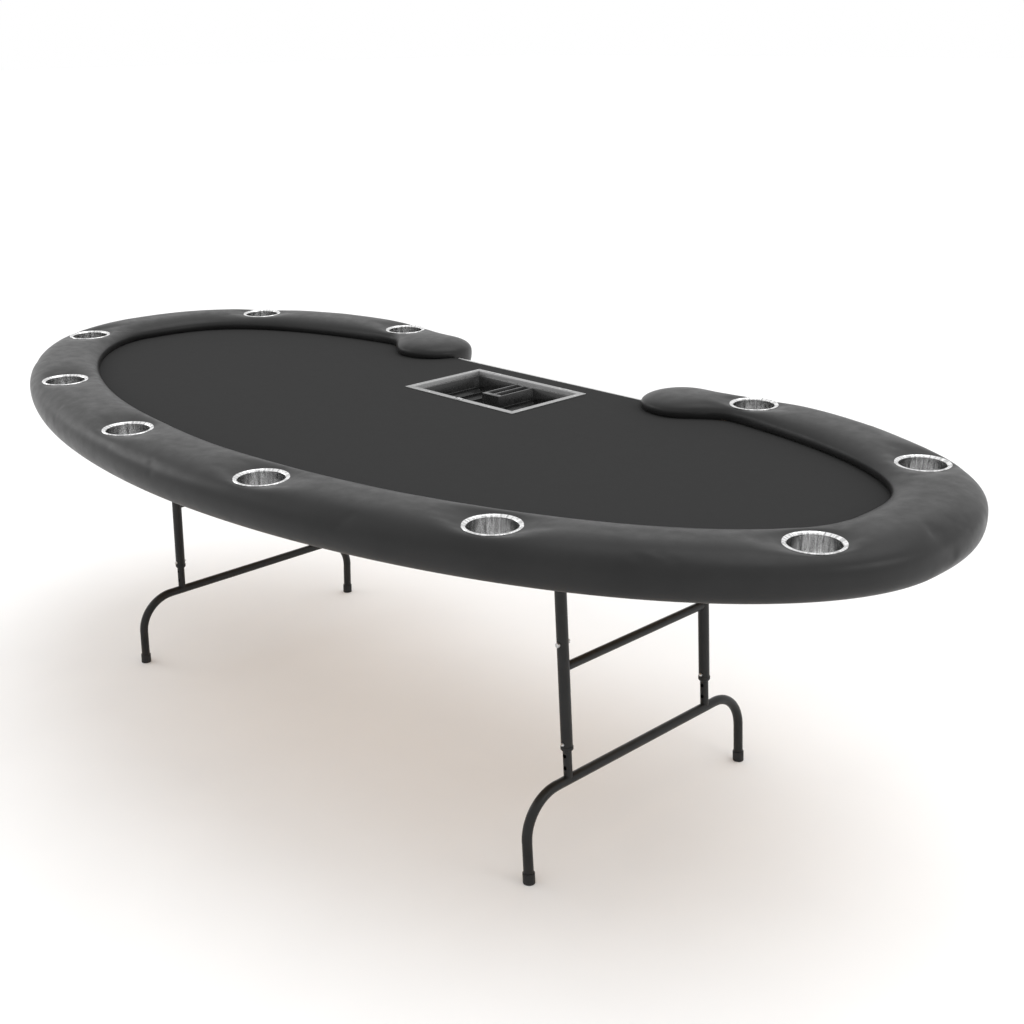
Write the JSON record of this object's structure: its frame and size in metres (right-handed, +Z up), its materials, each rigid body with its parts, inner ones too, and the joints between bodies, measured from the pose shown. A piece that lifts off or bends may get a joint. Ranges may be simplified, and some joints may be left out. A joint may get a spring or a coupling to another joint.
{
  "type": "poker table",
  "caption": "Oval poker table with a padded rail, drop-in steel cups, a lift-out chip tray at the dealer's straight edge, and folding tubular legs.",
  "frame": {"origin": "on the floor under the middle of the rail's overall rectangle", "axes": "+X along the table, +Y towards the dealer, +Z up"},
  "size_m": [2.5754, 1.2092, 0.765],
  "materials": {
    "plywood": "satin",
    "foam": "matte",
    "speed_cloth": "matte",
    "rail_vinyl": "satin",
    "edge_aluminium": "satin",
    "binding": "matte",
    "cup_steel": "brushed",
    "zinc_steel": "satin",
    "tray_plastic": "gloss",
    "leg_paint": "satin",
    "black_plastic": "matte",
    "lock_chrome": "polished"
  },
  "bodies": {
    "table_top": {"deck": "plywood", "deck_foam": "foam", "playing_cloth": "speed_cloth", "edge_trim": "edge_aluminium", "edge_binding": "binding", "rail_board": "plywood", "rail_pad": "rail_vinyl", "rail_bolts": "zinc_steel", "tray_frame": "edge_aluminium", "tray_screws": "zinc_steel", "tray_lock": "lock_chrome", "tray_catches": "zinc_steel", "leg_battens": "plywood", "hinge_brackets": "leg_paint", "brace_anchors": "leg_paint", "bracket_screws": "zinc_steel", "cup_1": "cup_steel", "cup_2": "cup_steel", "cup_3": "cup_steel", "cup_4": "cup_steel", "cup_5": "cup_steel", "cup_6": "cup_steel", "cup_7": "cup_steel", "cup_8": "cup_steel", "cup_9": "cup_steel", "cup_10": "cup_steel"},
    "chip_tray": {"chip_tray": "tray_plastic"},
    "right_leg": {"right_pivot_tube": "leg_paint", "right_uprights": "leg_paint", "right_crossbar": "leg_paint", "right_brace_bar": "leg_paint", "right_collars": "black_plastic", "right_stop_bolts": "zinc_steel"},
    "right_foot": {"right_sliders": "leg_paint", "right_foot_bar": "leg_paint", "right_foot_caps": "black_plastic"},
    "right_deck_link": {"right_deck_link": "zinc_steel"},
    "right_leg_link": {"right_leg_link": "zinc_steel"},
    "right_button_1": {"right_button_1": "zinc_steel"},
    "right_button_2": {"right_button_2": "zinc_steel"},
    "right_button_3": {"right_button_3": "zinc_steel"},
    "right_button_4": {"right_button_4": "zinc_steel"},
    "left_leg": {"left_pivot_tube": "leg_paint", "left_uprights": "leg_paint", "left_crossbar": "leg_paint", "left_brace_bar": "leg_paint", "left_collars": "black_plastic", "left_stop_bolts": "zinc_steel"},
    "left_foot": {"left_sliders": "leg_paint", "left_foot_bar": "leg_paint", "left_foot_caps": "black_plastic"},
    "left_deck_link": {"left_deck_link": "zinc_steel"},
    "left_leg_link": {"left_leg_link": "zinc_steel"},
    "left_button_1": {"left_button_1": "zinc_steel"},
    "left_button_2": {"left_button_2": "zinc_steel"},
    "left_button_3": {"left_button_3": "zinc_steel"},
    "left_button_4": {"left_button_4": "zinc_steel"}
  },
  "joints": [
    {"name": "tray_lift", "type": "slide", "parent": "table_top", "child": "chip_tray", "axis": [0, 0, 1], "range_m": [0, 0.08]},
    {"name": "right_leg_fold", "type": "hinge", "parent": "table_top", "child": "right_leg", "pos_m": [0.6583, 0.04236, 0.64], "axis": [0, 1, 0], "range_deg": [0, 93]},
    {"name": "right_height", "type": "slide", "parent": "right_leg", "child": "right_foot", "axis": [-0.0546, 0, 0.9985], "range_m": [0, 0.05]},
    {"name": "right_deck_link_turn", "type": "hinge", "parent": "table_top", "child": "right_deck_link", "pos_m": [0.4, 0.04236, 0.69], "axis": [0, -1, 0], "range_deg": [0, 20.28]},
    {"name": "right_leg_link_turn", "type": "hinge", "parent": "right_leg", "child": "right_leg_link", "pos_m": [0.6377, 0.04236, 0.55875], "axis": [0, 1, 0], "range_deg": [0, 70.18]},
    {"name": "right_button_1_press", "type": "slide", "parent": "right_leg", "child": "right_button_1", "axis": [0, -1, 0], "range_m": [0, 0.003], "stiffness_N_per_m": 400, "springref_m": -0.002},
    {"name": "right_button_2_press", "type": "slide", "parent": "right_leg", "child": "right_button_2", "axis": [0, -1, 0], "range_m": [0, 0.003], "stiffness_N_per_m": 400, "springref_m": -0.002},
    {"name": "right_button_3_press", "type": "slide", "parent": "right_leg", "child": "right_button_3", "axis": [0, 1, 0], "range_m": [0, 0.003], "stiffness_N_per_m": 400, "springref_m": -0.002},
    {"name": "right_button_4_press", "type": "slide", "parent": "right_leg", "child": "right_button_4", "axis": [0, 1, 0], "range_m": [0, 0.003], "stiffness_N_per_m": 400, "springref_m": -0.002},
    {"name": "left_leg_fold", "type": "hinge", "parent": "table_top", "child": "left_leg", "pos_m": [-0.6583, 0.04236, 0.64], "axis": [0, -1, 0], "range_deg": [0, 93]},
    {"name": "left_height", "type": "slide", "parent": "left_leg", "child": "left_foot", "axis": [0.0546, 0, 0.9985], "range_m": [0, 0.05]},
    {"name": "left_deck_link_turn", "type": "hinge", "parent": "table_top", "child": "left_deck_link", "pos_m": [-0.4, 0.04236, 0.69], "axis": [0, 1, 0], "range_deg": [0, 20.28]},
    {"name": "left_leg_link_turn", "type": "hinge", "parent": "left_leg", "child": "left_leg_link", "pos_m": [-0.6377, 0.04236, 0.55875], "axis": [0, -1, 0], "range_deg": [0, 70.18]},
    {"name": "left_button_1_press", "type": "slide", "parent": "left_leg", "child": "left_button_1", "axis": [0, -1, 0], "range_m": [0, 0.003], "stiffness_N_per_m": 400, "springref_m": -0.002},
    {"name": "left_button_2_press", "type": "slide", "parent": "left_leg", "child": "left_button_2", "axis": [0, -1, 0], "range_m": [0, 0.003], "stiffness_N_per_m": 400, "springref_m": -0.002},
    {"name": "left_button_3_press", "type": "slide", "parent": "left_leg", "child": "left_button_3", "axis": [0, 1, 0], "range_m": [0, 0.003], "stiffness_N_per_m": 400, "springref_m": -0.002},
    {"name": "left_button_4_press", "type": "slide", "parent": "left_leg", "child": "left_button_4", "axis": [0, 1, 0], "range_m": [0, 0.003], "stiffness_N_per_m": 400, "springref_m": -0.002}
  ],
  "couplings": [
    {"joint": "right_deck_link_turn", "follows": "right_leg_fold", "ratio": 0.21596},
    {"joint": "right_leg_link_turn", "follows": "right_leg_fold", "ratio": 0.75246},
    {"joint": "left_deck_link_turn", "follows": "left_leg_fold", "ratio": 0.21596},
    {"joint": "left_leg_link_turn", "follows": "left_leg_fold", "ratio": 0.75246}
  ]
}
